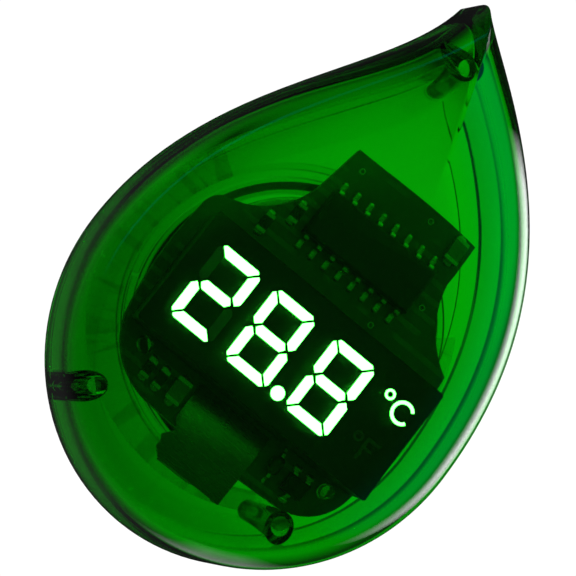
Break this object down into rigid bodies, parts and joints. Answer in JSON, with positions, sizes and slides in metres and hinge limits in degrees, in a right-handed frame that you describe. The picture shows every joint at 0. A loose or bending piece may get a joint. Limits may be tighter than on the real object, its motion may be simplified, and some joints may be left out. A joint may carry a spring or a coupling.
{
  "type": "drop-shaped digital thermometer",
  "caption": "Leaf-drop thermometer with a see-through green shell, a lit digit display, a coin cell behind a quarter-turn door, a mode key and a gel pad for glass.",
  "frame": {"origin": "on the battery door's axis, in the outer plane of the gel pad that meets the glass", "axes": "+Z to the drop's tip, +Y out of the back into the glass, +X along the display to the reader's right"},
  "size_m": [0.032, 0.0133, 0.0471],
  "materials": {
    "clear_green_abs": "moulded, glossy, see-through green",
    "gel": "clear tacky gel",
    "seal_rubber": "matt",
    "key_plastic": "moulded green",
    "nickel_steel": "nickel-plated, satin",
    "cell_filling": "pressed powder",
    "gasket_plastic": "matt",
    "board_laminate": "green solder mask on glass-fibre laminate",
    "chip_epoxy": "moulded epoxy",
    "tinned_copper": "tinned, bright",
    "solder": "bright solder",
    "display_black": "black housing",
    "display_film": "dark film, satin",
    "light_window": "lit white epoxy",
    "dark_window": "unlit epoxy",
    "led_die": "phosphor-coated die",
    "ceramic": "fired ceramic",
    "resistor_black": "glazed",
    "thermistor_glass": "glass bead",
    "contact_steel": "sprung sheet, nickel plated"
  },
  "bodies": {
    "case": {"front_shell": "clear_green_abs", "back_cover": "clear_green_abs", "adhesive_pad": "gel", "main_board": "board_laminate", "controller_chip": "chip_epoxy", "controller_leads": "tinned_copper", "resistor_bodies": "resistor_black", "resistor_ends": "tinned_copper", "capacitor_bodies": "ceramic", "capacitor_ends": "tinned_copper", "transistor_body": "chip_epoxy", "transistor_legs": "tinned_copper", "thermistor_bead": "thermistor_glass", "thermistor_leads": "tinned_copper", "led_board": "board_laminate", "display_case": "display_black", "display_film": "display_film", "segments_lit": "light_window", "segments_dark": "dark_window", "celsius_mark": "light_window", "fahrenheit_mark": "dark_window", "led_dies": "led_die", "display_pins": "tinned_copper", "solder_joints": "solder", "positive_contact": "contact_steel", "negative_contact": "contact_steel", "switch_base": "chip_epoxy", "switch_cover": "contact_steel", "switch_dome": "contact_steel"},
    "cell_and_seal": {"door_seal": "seal_rubber", "cell_can": "nickel_steel", "cell_gasket": "gasket_plastic", "cell_cap": "nickel_steel", "cell_core": "cell_filling"},
    "door": {"battery_door": "clear_green_abs"},
    "key": {"mode_key": "key_plastic", "switch_plunger": "chip_epoxy"}
  },
  "joints": [
    {"name": "door_lift", "type": "slide", "parent": "case", "child": "cell_and_seal", "axis": [0, 1, 0], "range_m": [0, 0.008]},
    {"name": "door_twist", "type": "hinge", "parent": "cell_and_seal", "child": "door", "pos_m": [0, 0, 0], "axis": [0, -1, 0], "range_deg": [0, 50]},
    {"name": "key_press", "type": "slide", "parent": "case", "child": "key", "axis": [0, -1, 0], "range_m": [0, 0.00025], "stiffness_N_per_m": 4000}
  ]
}
